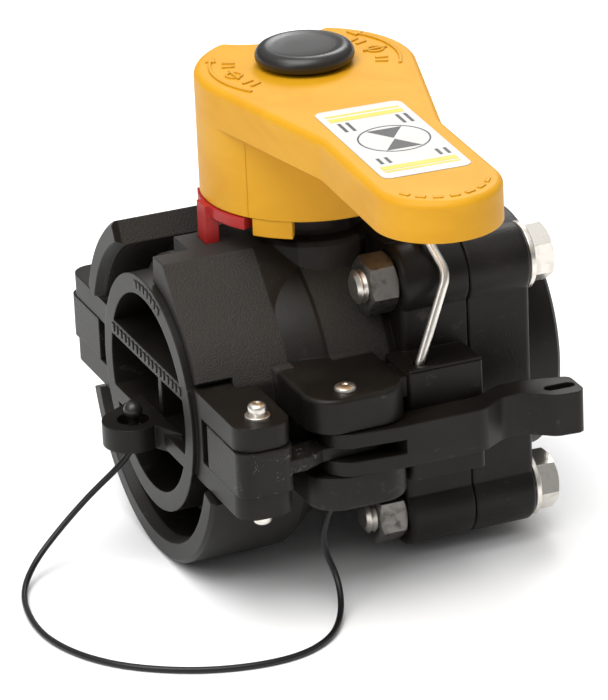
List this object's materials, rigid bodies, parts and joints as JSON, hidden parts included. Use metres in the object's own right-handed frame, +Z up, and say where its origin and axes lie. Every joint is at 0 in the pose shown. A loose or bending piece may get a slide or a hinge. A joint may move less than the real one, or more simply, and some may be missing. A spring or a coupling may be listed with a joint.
{
  "type": "dry-disconnect ball valve",
  "caption": "Quarter-turn ball valve with a flanged threaded hub, a lever handle, cam levers, and a dry-disconnect coupling end closed by a tethered dust plug.",
  "frame": {"origin": "centre of the threaded hub's open end, on the flow axis", "axes": "+X along the flow axis out of the hub, +Z up the stem, the closed handle reaches out towards -Y"},
  "size_m": [0.1546, 0.1786, 0.139],
  "materials": {
    "black_nylon": "glass-filled nylon, moulded, part smooth and part grained",
    "stainless": "satin stainless steel",
    "weathered_steel": "plain steel, dulled",
    "white_ptfe": "smooth PTFE",
    "seal_rubber": "smooth nitrile",
    "yellow_handle": "satin moulded plastic",
    "black_cap": "semi-gloss moulded plastic",
    "label": null,
    "red_latch": "satin moulded plastic",
    "cord_sheath": "smooth extruded PVC sheath"
  },
  "bodies": {
    "root": {"body": "black_nylon", "end_cap": "black_nylon", "flange_bolts": "stainless", "flange_washers": "stainless", "flange_nuts": "weathered_steel", "front_seat": "white_ptfe", "rear_seat": "white_ptfe", "cap_o_ring": "seal_rubber", "thrust_washer": "white_ptfe", "near_lever_pins": "stainless", "far_lever_pins": "stainless", "wire_bail": "stainless", "latch_spring": "stainless"},
    "handle_assembly": {"handle": "yellow_handle", "handle_cap": "black_cap", "handle_screw": "stainless", "handle_label": "label", "stem": "stainless", "stem_o_rings": "seal_rubber", "ball": "black_nylon"},
    "latch": {"latch": "red_latch"},
    "plug_assembly": {"dust_plug": "black_nylon", "plug_o_ring": "seal_rubber", "near_plug_pin": "stainless", "far_plug_pin": "stainless", "tether_cord": "cord_sheath", "tether_ball": "black_cap", "tether_crimp": "black_cap"},
    "near_lever": {"near_lever": "black_nylon", "near_link_pin": "stainless"},
    "far_lever": {"far_lever": "black_nylon", "far_link_pin": "stainless"},
    "near_link": {"near_link": "black_nylon"},
    "far_link": {"far_link": "black_nylon"}
  },
  "joints": [
    {"name": "handle_turn", "type": "hinge", "parent": "root", "child": "handle_assembly", "pos_m": [-0.0575, 0, 0.05], "axis": [0, 0, 1], "range_deg": [0, 92.5]},
    {"name": "near_lever_swing", "type": "hinge", "parent": "root", "child": "near_lever", "pos_m": [-0.073, -0.057, 0], "axis": [0, 0, 1], "range_deg": [-85, 0]},
    {"name": "far_lever_swing", "type": "hinge", "parent": "root", "child": "far_lever", "pos_m": [-0.073, 0.057, 0], "axis": [0, 0, 1], "range_deg": [0, 85]},
    {"name": "near_link_swing", "type": "hinge", "parent": "near_lever", "child": "near_link", "pos_m": [-0.067, -0.056, 0], "axis": [0, 0, 1], "range_deg": [0, 100]},
    {"name": "far_link_swing", "type": "hinge", "parent": "far_lever", "child": "far_link", "pos_m": [-0.067, 0.056, 0], "axis": [0, 0, 1], "range_deg": [-100, 0]},
    {"name": "plug_release", "type": "slide", "parent": "root", "child": "plug_assembly", "axis": [-1, 0, 0], "range_m": [0, 0.003]},
    {"name": "latch_press", "type": "slide", "parent": "root", "child": "latch", "axis": [0, 0, -1], "range_m": [0, 0.0033], "stiffness_N_per_m": 250, "deforming": ["latch_spring"]}
  ],
  "couplings": [
    {"joint": "far_lever_swing", "follows": "near_lever_swing", "ratio": -1},
    {"joint": "near_link_swing", "follows": "near_lever_swing", "ratio": -1.1765},
    {"joint": "far_link_swing", "follows": "near_lever_swing", "ratio": 1.1765},
    {"joint": "plug_release", "follows": "near_lever_swing", "m_per_rad": -0.0020222}
  ]
}
